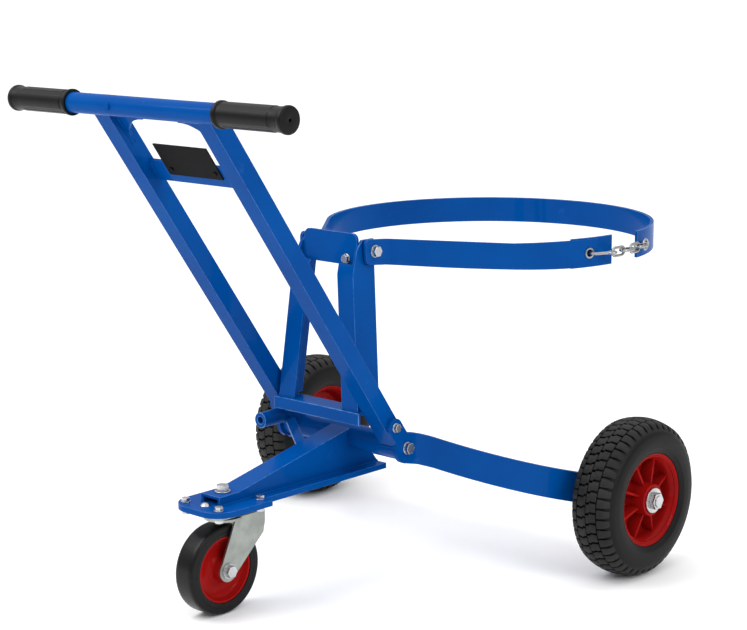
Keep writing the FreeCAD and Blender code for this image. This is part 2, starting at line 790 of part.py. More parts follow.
# Lower arms: bowed flat bars from the pivot tube down to the axles
arm_x = leg_outer_half_span + lower_arm_thickness / 2
arm_outer_face = leg_outer_half_span + lower_arm_thickness
axle_arm_x = load_radius + lower_arm_side_gap + lower_arm_thickness / 2
axle_y = -axle_setback
wheel_radius = tyre_diameter / 2
arm_half_height = lower_arm_height / 2
bow_start = pivot_y + lower_arm_tail
bow_angle = 2 * math.degrees(math.atan2(axle_arm_x - arm_x, axle_y - bow_start))
bow_radius = (axle_y - bow_start) / math.sin(math.radians(bow_angle)) - lower_arm_bend_radius
bow_runs = [
    (lower_arm_tail + arm_half_height,),
    (lower_arm_bend_radius, -bow_angle),
    (bow_radius, bow_angle),
    (arm_half_height,),
]
bow_face = bent_strip(Vector(arm_x, pivot_y - arm_half_height, 0), 90, bow_runs, lower_arm_thickness)
arm_chord = Vector(axle_arm_x - arm_x, axle_y - pivot_y, wheel_radius - pivot_height)
chord_foot = Vector(arm_x, pivot_y, pivot_height).sub(arm_chord)
chord_head = Vector(axle_arm_x, axle_y, wheel_radius).add(arm_chord)
chord_side = Vector(arm_chord.y, -arm_chord.x, 0)
slab_points = [
    chord_foot.sub(chord_side).sub(Z_AXIS * arm_half_height),
    chord_head.sub(chord_side).sub(Z_AXIS * arm_half_height),
    chord_head.sub(chord_side).add(Z_AXIS * arm_half_height),
    chord_foot.sub(chord_side).add(Z_AXIS * arm_half_height),
]
arm_slab = prism(slab_points, chord_side * 2)
arm_bar = bow_face.extrude(Z_AXIS * (pivot_height + lower_arm_height)).common(arm_slab)
far_x = axle_arm_x + lower_arm_height
axle_line = (Vector(0, axle_y, wheel_radius), Vector(far_x, axle_y, wheel_radius))
behind_axle = block(0, far_x, axle_y, axle_y + lower_arm_height, 0, pivot_height)
behind_axle = behind_axle.cut(rod(*axle_line, arm_half_height))
before_pivot = block(
    0,
    far_x,
    pivot_y - lower_arm_height,
    pivot_y,
    pivot_height - lower_arm_height,
    pivot_height + lower_arm_height,
)
pivot_line = (Vector(0, pivot_y, pivot_height), Vector(far_x, pivot_y, pivot_height))
before_pivot = before_pivot.cut(rod(*pivot_line, arm_half_height))
ear_foot = Vector(leg_outer_half_span, pivot_y, pivot_height)
ear = joined(
    [
        rod(ear_seat, ear_seat.add(X_AXIS * lower_arm_thickness), ear_radius),
        rod(ear_foot, ear_foot.add(X_AXIS * lower_arm_thickness), ear_radius),
        leaned(
            block(leg_outer_half_span, arm_outer_face, -ear_radius, ear_radius, 0, ear_bolt_distance)
        ),
    ]
)
arm_bolt_seat = Vector(arm_outer_face, pivot_y, pivot_height)
ear_bolt_seat = ear_seat.add(X_AXIS * lower_arm_thickness)
ear_bolt_reach = lower_arm_thickness + leg_width
arm_bolt_hole = rod(arm_bolt_seat, arm_bolt_seat.sub(X_AXIS * arm_bolt_reach), arm_bolt["shank"] / 2)
ear_bolt_hole = rod(ear_bolt_seat, ear_bolt_seat.sub(X_AXIS * ear_bolt_reach), ear_bolt["shank"] / 2)
axle_radius = axle_diameter / 2
right_lower_arm = joined([arm_bar.cut(behind_axle).cut(before_pivot), ear])
right_lower_arm = right_lower_arm.cut(arm_bolt_hole).cut(ear_bolt_hole).cut(rod(*axle_line, axle_radius))
pieces["right_lower_arm"] = right_lower_arm
pieces["left_lower_arm"] = mirrored(right_lower_arm)
right_arm_bolts = bolt_along(arm_bolt_seat, X_AXIS, arm_bolt_reach, arm_bolt, nut=False)
right_arm_bolts += bolt_along(ear_bolt_seat, X_AXIS, ear_bolt_reach, ear_bolt, nut=False)
left_arm_bolts = [mirrored(solid) for solid in right_arm_bolts]
pieces["lower_arm_bolts"] = Part.makeCompound(right_arm_bolts + left_arm_bolts)

# Cross bar that ties the lower arms under the load
bar_back = axle_y - cross_bar_distance + cross_bar_width / 2
cross_bar = block(
    -axle_arm_x,
    axle_arm_x,
    bar_back - cross_bar_width,
    bar_back,
    load_base_height - cross_bar_thickness,
    load_base_height,
)
cross_bar = cross_bar.cut(right_lower_arm).cut(mirrored(right_lower_arm))
pieces["lower_cross_bar"] = max(cross_bar.Solids, key=lambda solid: solid.Volume)

# Main wheel on its axle, drawn on the right and mirrored
axle_arm_inner = axle_arm_x - lower_arm_thickness / 2
axle_arm_outer = axle_arm_x + lower_arm_thickness / 2
wheel_x = axle_arm_outer + tyre_arm_gap + tyre_width / 2
hub_half = hub_length / 2


def on_axle(x):
    """Point on the axle's line."""
    return Vector(x, axle_y, wheel_radius)


def at_radius(x, radius):
    """Point of a wheel's section: x across the wheel, radius from its axle."""
    return Vector(wheel_x + x, axle_y, wheel_radius + radius)


seat_radius = rim_seat_diameter / 2
rim_inner = seat_radius - rim_wall
rim_half = tyre_bead_half_width + rim_flange_thickness
barrel = pipe(on_axle(wheel_x - rim_half), on_axle(wheel_x + rim_half), seat_radius, rim_inner)
flanges = []
for hand in (-1, 1):
    inner_side = on_axle(wheel_x + hand * tyre_bead_half_width)
    outer_side = on_axle(wheel_x + hand * rim_half)
    flanges.append(pipe(inner_side, outer_side, rim_flange_diameter / 2, rim_inner))
hub_radius = hub_diameter / 2
web_half = rim_web_thickness / 2
rim_core = seat_radius - rim_wall / 2
hub_core = (hub_radius + bearing_diameter / 2) / 2
web = pipe(on_axle(wheel_x - web_half), on_axle(wheel_x + web_half), rim_core, hub_core)
hub = pipe(on_axle(wheel_x - hub_half), on_axle(wheel_x + hub_half), hub_radius, bearing_diameter / 2)
rib = block(
    wheel_x,
    wheel_x + web_half + rim_rib_depth,
    axle_y - rim_rib_thickness / 2,
    axle_y + rim_rib_thickness / 2,
    wheel_radius + hub_core,
    wheel_radius + rim_core,
)
ribs = []
for step in range(rim_rib_count):
    spoke = rib.copy()
    spoke.rotate(on_axle(0), X_AXIS, 360 / rim_rib_count * (step + 0.5))
    ribs.append(spoke)
right_rim = joined([barrel, web, hub] + flanges + ribs)
pieces["right_rim"] = right_rim
pieces["left_rim"] = mirrored(right_rim)

bulge_radius = seat_radius + tyre_bulge_height
shoulder_radius = wheel_radius - tyre_shoulder_drop
bead_left = at_radius(-tyre_bead_half_width, seat_radius)
bead_right = at_radius(tyre_bead_half_width, seat_radius)
shoulder_left = at_radius(-tyre_shoulder_half_width, shoulder_radius)
shoulder_right = at_radius(tyre_shoulder_half_width, shoulder_radius)
tyre_section = [
    Part.makeLine(bead_left, bead_right),
    Part.Arc(bead_right, at_radius(tyre_width / 2, bulge_radius), shoulder_right).toShape(),
    Part.Arc(shoulder_right, at_radius(0, wheel_radius), shoulder_left).toShape(),
    Part.Arc(shoulder_left, at_radius(-tyre_width / 2, bulge_radius), bead_left).toShape(),
]
right_tyre = turned(tyre_section, on_axle(0), X_AXIS)
for flange in flanges:
    right_tyre = right_tyre.cut(flange)
pieces["right_tyre"] = right_tyre
pieces["left_tyre"] = mirrored(right_tyre)

bearing_rings = []
for hand in (-1, 1):
    outer_side = on_axle(wheel_x + hand * (hub_half - bearing_inset))
    inner_side = on_axle(wheel_x + hand * (hub_half - bearing_inset - bearing_width))
    bearing_rings.append(pipe(inner_side, outer_side, bearing_diameter / 2, axle_radius + running_clearance))
pieces["right_bearings"] = Part.makeCompound(bearing_rings)
pieces["left_bearings"] = Part.makeCompound([mirrored(ring) for ring in bearing_rings])

washer_start = wheel_x + hub_half + side_clearance
nut_start = washer_start + axle_washer_thickness
nut_end = nut_start + axle_nut["height"]
axle_shank = rod(on_axle(axle_arm_inner), on_axle(nut_end + axle_stick_out), axle_radius)
axle_head_start = on_axle(axle_arm_inner - axle_nut["head"])
axle_head = hexagon(axle_head_start, on_axle(axle_arm_inner), axle_nut["flats"])
right_axle = joined([axle_shank, axle_head.cut(right_lower_arm)])
pieces["right_axle"] = right_axle
pieces["left_axle"] = mirrored(right_axle)
spacer_end = wheel_x - hub_half - side_clearance
axle_trim = [
    pipe(on_axle(axle_arm_outer), on_axle(spacer_end), spacer_diameter / 2, axle_radius),
    pipe(on_axle(washer_start), on_axle(nut_start), axle_washer_diameter / 2, axle_radius),
    hexagon(on_axle(nut_start), on_axle(nut_end), axle_nut["flats"]).cut(axle_shank),
]
pieces["axle_spacers"] = Part.makeCompound([axle_trim[0], mirrored(axle_trim[0])])
pieces["axle_nuts"] = Part.makeCompound(axle_trim[1:] + [mirrored(solid) for solid in axle_trim[1:]])

# Castor: top plate, bolts, upper race and kingpin stay with the trolley
castor_plate = block(
    -castor_plate_half_width,
    castor_plate_half_width,
    castor_y - castor_plate_half_length,
    castor_y + castor_plate_half_length,
    castor_plate_low,
    plate_low,
)
castor_plate = castor_plate.makeFillet(castor_bolt["washer"] / 2, edges_along(castor_plate, Z_AXIS))
under_plate = base_plate.copy()
under_plate.translate(Z_AXIS * -base_plate_thickness)
castor_plate = castor_plate.common(under_plate)
pieces["castor_plate"] = castor_plate.cut(king_hole).cut(Part.makeCompound(castor_holes))
castor_bolts = []
for seat in castor_seats:
    castor_bolts += bolt_along(seat, Z_AXIS, castor_grip, castor_bolt)
pieces["castor_bolts"] = Part.makeCompound(castor_bolts)


def on_king(z):
    """Point on the kingpin's line."""
    return Vector(0, castor_y, z)


race_low = castor_plate_low - race_thickness
crown_top = race_low - ball_diameter - 2 * ball_clearance
crown_low = crown_top - crown_thickness
race_outer = race_outer_diameter / 2
race = pipe(on_king(race_low), on_king(castor_plate_low), race_outer, race_inner_diameter / 2)
skirt_low = crown_top + ball_diameter / 4
skirt = pipe(on_king(skirt_low), on_king(castor_plate_low), race_outer, race_outer - race_skirt_thickness)
pieces["upper_race"] = joined([race, skirt])

king_seat = crown_low - ball_clearance
king_shank = rod(on_king(king_seat), on_king(king_top), king_radius)
king_nut_low = king_top + kingpin_nut["plate"]
king_nut_top = king_nut_low + kingpin_nut["height"]
king_thread = rod(on_king(king_top), on_king(king_nut_top), king_radius)
king_head = rod(on_king(king_seat - kingpin_head_height), on_king(king_seat), kingpin_head_diameter / 2)
pieces["kingpin"] = joined([king_shank, king_thread, king_head])
pieces["kingpin_nut"] = Part.makeCompound(
    [
        pipe(on_king(king_top), on_king(king_nut_low), kingpin_nut["washer"] / 2, king_radius),
        hexagon(on_king(king_nut_low), on_king(king_nut_top), kingpin_nut["flats"]).cut(king_thread),
    ]
)

# Castor: the balls and the fork swivel
balls = []
for step in range(ball_count):
    angle = 2 * math.pi * step / ball_count
    out = Vector(math.cos(angle), math.sin(angle), 0) * (ball_circle_diameter / 2)
    balls.append(Part.makeSphere(ball_diameter / 2, on_king(crown_top + ball_diameter / 2).add(out)))
pieces["swivel_balls"] = Part.makeCompound(balls)

castor_radius = castor_tyre_diameter / 2
castor_axle_y = castor_y - castor_trail
fork_inner = fork_gap / 2
fork_outer = fork_inner + fork_thickness
castor_axle_radius = castor_axle_diameter / 2


def on_castor_axle(x):
    """Point on the castor axle's line."""
    return Vector(x, castor_axle_y, castor_radius)


foot = rod(on_castor_axle(fork_inner), on_castor_axle(fork_outer), fork_foot_radius)
foot_turn = math.radians(fork_foot_angle)
foot_back_y = castor_axle_y + fork_foot_radius * math.cos(foot_turn)
foot_back_z = castor_radius - fork_foot_radius * math.sin(foot_turn)
cheek_points = [
    (fork_inner, castor_y + fork_front_setback, crown_top),
    (fork_inner, castor_y + fork_rear_reach, crown_top),
    (fork_inner, castor_y + fork_rear_reach, crown_top - fork_foot_radius),
    (fork_inner, castor_y + fork_rear_reach - fork_thickness, crown_top - 2 * fork_foot_radius),
    (fork_inner, foot_back_y, foot_back_z),
    (fork_inner, castor_axle_y - fork_foot_radius, castor_radius),
]
cheek = joined([foot, prism(cheek_points, X_AXIS * fork_thickness)])
crown = rod(on_king(crown_low), on_king(crown_top), crown_diameter / 2)
shelf = block(
    -fork_outer,
    fork_outer,
    castor_y + fork_front_setback,
    castor_y + fork_rear_reach,
    crown_low,
    crown_top,
)
fork = joined([crown, shelf, cheek, mirrored(cheek)])
fork = fork.cut(rod(on_castor_axle(-fork_gap), on_castor_axle(fork_gap), castor_axle_radius))
pieces["castor_fork"] = fork.cut(rod(on_king(0), on_king(king_top), king_radius + running_clearance))

castor_axle_seat = fork_outer + castor_axle_nut["plate"]
castor_axle_half = castor_axle_seat + castor_axle_nut["height"]
castor_axle_left = on_castor_axle(-castor_axle_half)
castor_axle_right = on_castor_axle(castor_axle_half)
castor_axle_shank = rod(castor_axle_left, on_castor_axle(fork_outer), castor_axle_radius)
castor_axle_collar = rod(
    on_castor_axle(fork_outer), on_castor_axle(castor_axle_seat), castor_axle_nut["washer"] / 2
)
castor_axle_head = hexagon(on_castor_axle(castor_axle_seat), castor_axle_right, castor_axle_nut["flats"])
pieces["castor_axle"] = joined([castor_axle_shank, castor_axle_collar, castor_axle_head])
castor_nut = hexagon(castor_axle_left, on_castor_axle(-castor_axle_seat), castor_axle_nut["flats"])
pieces["castor_axle_nut"] = joined([castor_nut, mirrored(castor_axle_collar)]).cut(castor_axle_shank)

# Castor wheel
castor_seat = castor_rim_seat_diameter / 2
castor_rim_half = castor_rim_width / 2
castor_hub_half = castor_hub_length / 2
castor_web_half = castor_web_thickness / 2
bush_radius = castor_bush_diameter / 2
castor_hub_radius = castor_hub_diameter / 2
castor_hub_core = (castor_hub_radius + bush_radius) / 2


def castor_ring(half_length, outer, inner):
    """Tube of the castor wheel, centred on its axle."""
    return pipe(on_castor_axle(-half_length), on_castor_axle(half_length), outer, inner)


castor_rim = joined(
    [
        castor_ring(castor_rim_half, castor_seat, castor_seat - castor_rim_wall),
        castor_ring(castor_web_half, castor_seat - castor_rim_wall / 2, castor_hub_core),
        castor_ring(castor_hub_half, castor_hub_radius, bush_radius),
    ]
)
pieces["castor_rim"] = castor_rim
castor_tyre_half = castor_tyre_width / 2
tread = rod(on_castor_axle(-castor_tyre_half), on_castor_axle(castor_tyre_half), castor_radius)
tread = tread.makeFillet(castor_tyre_corner_radius, [tread.Edges[0], tread.Edges[2]])
tyre_bore = rod(on_castor_axle(-castor_tyre_half), on_castor_axle(castor_tyre_half), castor_seat)
pieces["castor_tyre"] = tread.cut(tyre_bore)
pieces["castor_bush"] = castor_ring(castor_hub_half, bush_radius, castor_axle_radius + running_clearance)

# Eye ring on the end of the left band, and the seat ring of the hook hole on the right band
chain_radius = band_outer + chain_stand_off
eye_wire_radius = eye_wire / 2
eye_out = round_load(eye_angle, 1, 0)
eye_along = Vector(eye_out.y, -eye_out.x, 0)
eye_centre = round_load(eye_angle, chain_radius, band_middle_height)
eye_ring = Part.makeTorus(eye_mean_radius, eye_wire_radius, eye_centre, eye_out)
eye_root = eye_centre.sub(eye_along * eye_mean_radius)
eye_post_top = eye_root.add(eye_out * eye_wire_radius)
eye_post = rod(eye_root.sub(eye_out * 2 * chain_stand_off), eye_post_top, eye_post_diameter / 2)
band_core = rod(Vector(0, 0, band_low), Vector(0, 0, band_high), band_outer)
pieces["chain_eye"] = joined([eye_ring, eye_post]).cut(band_core)
seat_outer = round_load(hook_hole_angle, band_outer + hook_seat_ring_height, band_middle_height)
seat_inner = round_load(hook_hole_angle, band_middle, band_middle_height)
seat_ring = pipe(seat_inner, seat_outer, hook_seat_ring_diameter / 2, hook_hole_diameter / 2)
pieces["hook_seat_ring"] = seat_ring.cut(band_core)

# Chain: links by turns level and upright, following the curve of the band
wire_radius = chain_wire / 2
apex = chain_link_length / 2 - wire_radius
link_overlap = chain_wire + chain_clearance
turn_per_link = math.degrees((2 * apex - link_overlap) / chain_radius)
along = Vector(eye_along)
grip_point = eye_centre.add(along * eye_mean_radius)
overlap = eye_wire_radius + wire_radius + chain_clearance
for pair in range(chain_pair_count):
    links = []
    for upright in (False, True):
        centre = grip_point.add(along * (apex - overlap))
        across = Z_AXIS if upright else Z_AXIS.cross(along)
        links.append(stadium_link(centre, along, across, chain_link_length, chain_link_width, chain_wire))
        grip_point = centre.add(along * apex)
        overlap = link_overlap
        along = FreeCAD.Rotation(Z_AXIS, -turn_per_link).multVec(along)
    pieces["chain_pair_%d" % (pair + 1)] = Part.makeCompound(links)

# Hook: a level ring, a shank along the band, and a tip turned into the hole
hook_target = round_load(hook_hole_angle, chain_radius, band_middle_height)
hook_reach = hook_target.sub(grip_point)
along = Vector(hook_reach).normalize()
hook_inward = round_load(hook_hole_angle, -1, 0)
hook_ring_centre = grip_point.add(along * (hook_ring_radius - overlap))
hook_ring = Part.makeTorus(hook_ring_radius, wire_radius, hook_ring_centre, Z_AXIS)
shank_start = hook_ring_centre.add(along * hook_ring_radius)
bend_start = hook_target.sub(along * hook_bend_radius)
bend_end = hook_target.add(hook_inward * hook_bend_radius)
tip_end = round_load(hook_hole_angle, band_outer - hook_tip_depth, band_middle_height)
bend_centre = bend_start.add(hook_inward * hook_bend_radius)
bend_out = bend_start.add(bend_end).sub(bend_centre * 2).normalize()
bend_middle = bend_centre.add(bend_out * hook_bend_radius)
hook_path = Part.Wire(
    [
        Part.makeLine(shank_start, bend_start),
        Part.Arc(bend_start, bend_middle, bend_end).toShape(),
        Part.makeLine(bend_end, tip_end),
    ]
)
hook_section = Part.Wire(Part.makeCircle(wire_radius, shank_start, along))
hook_shank = hook_path.makePipeShell([hook_section], True, False)
pieces["chain_hook"] = joined([hook_ring, hook_shank])

# Write each piece about the middle of the footprint
footprint_front = handle_y - flange_radius
footprint_back = band_outer
to_middle = Vector(0, -(footprint_front + footprint_back) / 2, 0)
os.makedirs("parts", exist_ok=True)
for name, shape in pieces.items():
    placed = shape.copy()
    placed.translate(to_middle)
    placed.exportStep("parts/%s.step" % name)
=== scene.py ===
import json
import math

import bmesh
import bpy
from mathutils import Matrix, Vector

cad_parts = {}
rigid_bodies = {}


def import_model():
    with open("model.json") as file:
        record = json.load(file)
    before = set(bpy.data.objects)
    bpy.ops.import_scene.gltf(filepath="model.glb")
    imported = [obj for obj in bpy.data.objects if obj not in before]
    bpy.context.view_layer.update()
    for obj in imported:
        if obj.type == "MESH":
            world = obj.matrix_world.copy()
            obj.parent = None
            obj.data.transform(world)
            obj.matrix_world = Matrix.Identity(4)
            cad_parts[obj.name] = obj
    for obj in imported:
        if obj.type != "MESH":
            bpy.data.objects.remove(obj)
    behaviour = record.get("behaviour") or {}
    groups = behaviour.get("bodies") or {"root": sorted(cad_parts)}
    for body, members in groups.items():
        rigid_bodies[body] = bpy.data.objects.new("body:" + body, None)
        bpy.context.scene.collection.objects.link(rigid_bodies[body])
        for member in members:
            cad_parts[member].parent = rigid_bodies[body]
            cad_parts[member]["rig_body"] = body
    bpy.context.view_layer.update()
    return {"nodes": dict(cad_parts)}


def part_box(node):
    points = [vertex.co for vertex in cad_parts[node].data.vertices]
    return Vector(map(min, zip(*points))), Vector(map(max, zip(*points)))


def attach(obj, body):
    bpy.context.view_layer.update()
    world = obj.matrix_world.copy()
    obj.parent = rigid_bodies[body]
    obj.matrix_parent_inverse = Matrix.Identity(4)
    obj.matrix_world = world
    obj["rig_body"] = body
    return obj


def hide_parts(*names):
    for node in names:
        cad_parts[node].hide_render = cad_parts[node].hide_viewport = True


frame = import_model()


# Legs: two rectangular steel tubes that lean back from the pivot tube to the handle.
# They are cut from drawn tube with rounded edges, welded up, and powder-coated in a glossy blue,
# with a lighter blue painted along the edges as a highlight.
class Tap:
    """A socket of a material. Arithmetic on it adds Math nodes, and add() makes any other node."""

    def __init__(self, tree, socket=None):
        self.tree = tree
        self.socket = socket

    def add(self, kind, settings=None, values=None, out=0):
        """A node of that kind, its settings first, then the values or links of its sockets."""
        node = self.tree.nodes.new(kind)
        for name, value in (settings or {}).items():
            setattr(node, name, value)
        for name, value in (values or {}).items():
            if isinstance(value, Tap):
                self.tree.links.new(value.socket, node.inputs[name])
            else:
                node.inputs[name].default_value = value
        return Tap(self.tree, node.outputs[out]) if node.outputs else None

    def sums(self, operation, first, second):
        return self.add("ShaderNodeMath", {"operation": operation}, {0: first, 1: second})

    def __add__(self, other):
        return self.sums("ADD", self, other)

    def __radd__(self, other):
        return self.sums("ADD", other, self)

    def __sub__(self, other):
        return self.sums("SUBTRACT", self, other)

    def __rsub__(self, other):
        return self.sums("SUBTRACT", other, self)

    def __mul__(self, other):
        return self.sums("MULTIPLY", self, other)

    def __rmul__(self, other):
        return self.sums("MULTIPLY", other, self)

    def noise(self, place, scale, detail=2.0):
        """Cloudy pattern with that many waves in a metre."""
        return self.add("ShaderNodeTexNoise", {}, {"Vector": place, "Scale": scale, "Detail": detail})

    def between(self, low, high):
        """0 below low, 1 above high, sloping in between."""
        return self.add("ShaderNodeMapRange", {}, {"Value": self, "From Min": low, "From Max": high})

    def mix(self, first, second):
        """One colour turning into another as this value goes from 0 to 1."""
        return self.add("ShaderNodeMix", {"data_type": "RGBA"}, {0: self, 6: first, 7: second}, out=2)


def start_finish(name):
    """An empty material, its nodes, and the place of a point of the surface in metres."""
    finish = bpy.data.materials.new(name)
    finish.use_nodes = True
    finish.node_tree.nodes.clear()
    tree = Tap(finish.node_tree)
    return finish, tree, tree.add("ShaderNodeTexCoord", out="Object")


def end_finish(tree, height, depth, values):
    """The shader of a material, with a bump of that depth in metres, and its output."""
    bump = tree.add("ShaderNodeBump", {}, {"Height": height, "Strength": 1.0, "Distance": depth})
    shader = tree.add("ShaderNodeBsdfPrincipled", {}, dict(values, Normal=bump))
    tree.add("ShaderNodeOutputMaterial", {}, {"Surface": shader})


def powder_coat(name, deep, mid, highlight_and_scuff_colour, chip_colour):
    """Glossy powder coat: orange peel, a slow drift of tone, a lighter colour painted on the edges as
    a highlight, and small chips on them.
    """
    finish, tree, place = start_finish(name)
    drift = tree.noise(place, scale=6.0, detail=3.0)
    grain = tree.noise(place, scale=90.0, detail=5.0)
    peel = tree.noise(place, scale=420.0, detail=2.0)
    edge = tree.add("ShaderNodeAttribute", {"attribute_name": "edge"}, out="Fac")
    # Painted highlight: a patchy mask along the rounded edges, where the gloss would catch the light.
    painted_edge_highlight = edge * grain.between(0.35, 0.6)
    chip = edge * grain.between(0.66, 0.7)
    scuff = tree.noise(place, scale=26.0, detail=8.0).between(0.66, 0.8)
    colour = drift.between(0.3, 0.7).mix(deep, mid)
    # The lighter colour is painted on the edges as a highlight; the scuffs below use it too.
    colour = (painted_edge_highlight * 0.7).mix(colour, highlight_and_scuff_colour)
    colour = (scuff * 0.12).mix(colour, highlight_and_scuff_colour)
    colour = (chip * 0.8).mix(colour, chip_colour)
    roughness = 0.2 + drift * 0.1 + scuff * 0.14 + chip * 0.3
    values = {
        "Base Color": colour,
        "Roughness": roughness,
        "Specular IOR Level": 0.012,
        "Coat Weight": 0.07 + edge * 0.9,
        "Coat Roughness": 0.06,
    }
    end_finish(tree, peel - chip * 2.0, depth=0.00012, values=values)
    return finish


blue = powder_coat(
    "blue_powder_coat",
    deep=(0.0, 0.05, 0.235, 1),
    mid=(0.0, 0.064, 0.28, 1),
    # Lighter blue painted on the edges as a highlight, and also used for scuffs.
    highlight_and_scuff_colour=(0.05, 0.21, 0.56, 1),
    chip_colour=(0.09, 0.12, 0.18, 1),
)
crease = math.radians(50)
rounded_from = math.radians(40)
same_spot = 0.000002
nearly_flat = math.radians(0.5)


def finished(mesh, name, body, finish):
    """A new piece from a mesh being built, riding on a body."""
    data = bpy.data.meshes.new(name)
    mesh.to_mesh(data)
    mesh.free()
    data.materials.append(finish)
    data.shade_smooth()
    data.set_sharp_from_angle(angle=crease)
    piece = bpy.data.objects.new(name, data)
    bpy.context.scene.collection.objects.link(piece)
    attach(piece, body)
    return piece


def soft_edged(node, finish, width, turns=3, shortest=0.0):
    """A node's own solid with its sharp edges rounded, as folded, sawn or cast edges are."""
    source = frame["nodes"][node]
    mesh = bmesh.new()
    mesh.from_mesh(source.data)
    bmesh.ops.remove_doubles(mesh, verts=mesh.verts, dist=same_spot)
    bmesh.ops.dissolve_limit(mesh, angle_limit=nearly_flat, verts=mesh.verts, edges=mesh.edges)
    sharp = [
        edge
        for edge in mesh.edges
        if len(edge.link_faces) == 2
        and edge.calc_face_angle() > rounded_from
        and edge.calc_length() > shortest
    ]
    on_edge = mesh.faces.layers.float.new("edge")
    rounded = bmesh.ops.bevel(
        mesh,
        geom=sharp,
        offset=width,
        offset_type="OFFSET",
        segments=turns,
        profile=0.5,
        affect="EDGES",
        clamp_overlap=True,
    )
    for face in rounded["faces"]:
        face[on_edge] = 1.0
    piece = finished(mesh, node + "_shell", source["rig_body"], finish)
    piece.modifiers.new("even_faces", "WEIGHTED_NORMAL").keep_sharp = True
    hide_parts(node)
    return piece


for node in ("right_leg", "left_leg"):
    soft_edged(node, blue, width=0.0032, turns=4, shortest=0.2)


# Handle tube: a round steel tube across the top of the legs, welded into their coped ends.
# The weld beads are left as they were laid, a row of small ripples, and painted over.
# One small screw sits in the tube, painted with it.
def coat(node, finish):
    """A node that keeps its own solid gets a finish."""
    data = frame["nodes"][node].data
    data.materials.clear()
    data.materials.append(finish)


coat("handle_tube", blue)
coat("handle_screw", blue)
leg_lean = math.radians(34.9)


def on_legs(across, out, up):
    """Point of the leaning frame, from the middle of the pivot tube, in millimetres."""
    low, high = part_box("pivot_tube")
    middle = (low + high) / 2
    along = Vector((0, -math.sin(leg_lean), math.cos(leg_lean)))
    normal = Vector((0, math.cos(leg_lean), math.sin(leg_lean)))
    return Vector((across / 1000, middle.y, middle.z)) + normal * (out / 1000) + along * (up / 1000)


def weld(name, paths, bead):
    """Weld beads of a radius along paths of points, with the ripples of a hand weld."""
    mesh = bmesh.new()
    around = 8
    spacing = bead * 0.3
    end_size = 0.35
    end_growth = 0.2
    ripple_height, ripple_turn = 0.11, 1.55
    sway_height, sway_turn = 0.06, 0.31
    for path in paths:
        spots = []
        for start, end in zip(path, path[1:]):
            count = max(1, round((end - start).length / spacing))
            spots += [start.lerp(end, step / count) for step in range(count)]
        spots.append(path[-1])
        rings = []
        for index, spot in enumerate(spots):
            ahead = spots[min(index + 1, len(spots) - 1)] - spots[max(index - 1, 0)]
            turn = ahead.to_track_quat("Z", "Y")
            taper = min(1.0, end_size + end_growth * min(index, len(spots) - 1 - index))
            ripple = 1.0 + ripple_height * math.sin(index * ripple_turn)
            ripple += sway_height * math.sin(index * sway_turn)
            radius = bead * taper * ripple
            ring = []
            for step in range(around):
                angle = 2 * math.pi * step / around
                offset = Vector((radius * math.cos(angle), radius * math.sin(angle), 0))
                ring.append(mesh.verts.new(spot + turn @ offset))
            rings.append(ring)
        for ring, following in zip(rings, rings[1:]):
            for step in range(around):
                other = (step + 1) % around
                mesh.faces.new((ring[step], ring[other], following[other], following[step]))
        mesh.faces.new(rings[0])
        mesh.faces.new(rings[-1])
    bmesh.ops.recalc_face_normals(mesh, faces=mesh.faces)
    finished(mesh, name, "trolley", blue)


# Sizes on the leaning frame are in millimetres, as on_legs takes them.
leg_inner = 104.0
leg_outer = 139.0
leg_half_depth = 16.0
handle_up = 753.1
handle_out = -16.0
handle_radius = 16.85
cope_overrun = 0.5
cope_steps = 10


def cope_path(hand):
    """Round the joint of a leg and the handle tube: down one side, across the front, and back."""
    path = []
    depth = leg_half_depth + cope_overrun
    steps = [cope_overrun - depth * step / cope_steps for step in range(cope_steps + 1)]
    for across, outs in ((leg_inner, steps), (leg_outer, reversed(steps))):
        for out in outs:
            reach = math.sqrt(max(handle_radius**2 - (out - handle_out) ** 2, 0.0))
            path.append(on_legs(hand * across, out, handle_up - reach))
    return path


weld("handle_welds", [cope_path(1), cope_path(-1)], bead=0.0024)


# Grips: two moulded rubber sleeves pushed over the ends of the handle tube.
# Each has a collar at both ends, four long raised panels, a softly rounded cap and a vent hole in it.
def eased(corners, turns=5):
    """Outline whose corners, given as across, radius and rounding, are drawn out into curves."""
    points = []
    most = 0.48
    for index, (across, radius, easing) in enumerate(corners):
        here = Vector((across, radius))
        before = Vector(corners[index - 1][:2]) - here
        after = Vector(corners[(index + 1) % len(corners)][:2]) - here
        start = here + before.normalized() * min(easing, before.length * most)
        end = here + after.normalized() * min(easing, after.length * most)
        for step in range(turns + 1):
            share = step / turns
            points.append(start * (1 - share) ** 2 + here * 2 * share * (1 - share) + end * share**2)
    return points


def lathe(mesh, outline, centre, hand, steps):
    """Turns a closed outline, in millimetres, round a line through a centre along X."""
    rings = []
    for step in range(steps):
        angle = 2 * math.pi * step / steps
        ring = []
        for across, radius in outline:
            offset = Vector((hand * across, radius * math.cos(angle), radius * math.sin(angle)))
            ring.append(mesh.verts.new(centre + offset / 1000))
        rings.append(ring)
    for ring, following in zip(rings, rings[1:] + rings[:1]):
        for index in range(len(outline)):
            other = (index + 1) % len(outline)
            mesh.faces.new((ring[index], ring[other], following[other], following[index]))


def moulded_rubber(name, base, dust, dust_share, shine, grain_size):
    """Black rubber with a fine grain, a little bloom, and dust where a face is marked for it."""
    finish, tree, place = start_finish(name)
    bloom = tree.noise(place, scale=14.0, detail=4.0)
    grain = tree.noise(place, scale=grain_size, detail=3.0)
    worn = tree.add("ShaderNodeAttribute", {"attribute_name": "worn"}, out="Fac")
    dusty = worn * bloom.between(0.1, 0.6) * 0.7 + bloom.between(0.45, 0.75) * 0.12
    colour = (dusty * dust_share).mix(base, dust)
    roughness = shine + bloom * 0.14 + worn * 0.12
    values = {"Base Color": colour, "Roughness": roughness, "Specular IOR Level": 0.15}
    end_finish(tree, grain, depth=0.00025, values=values)
    return finish


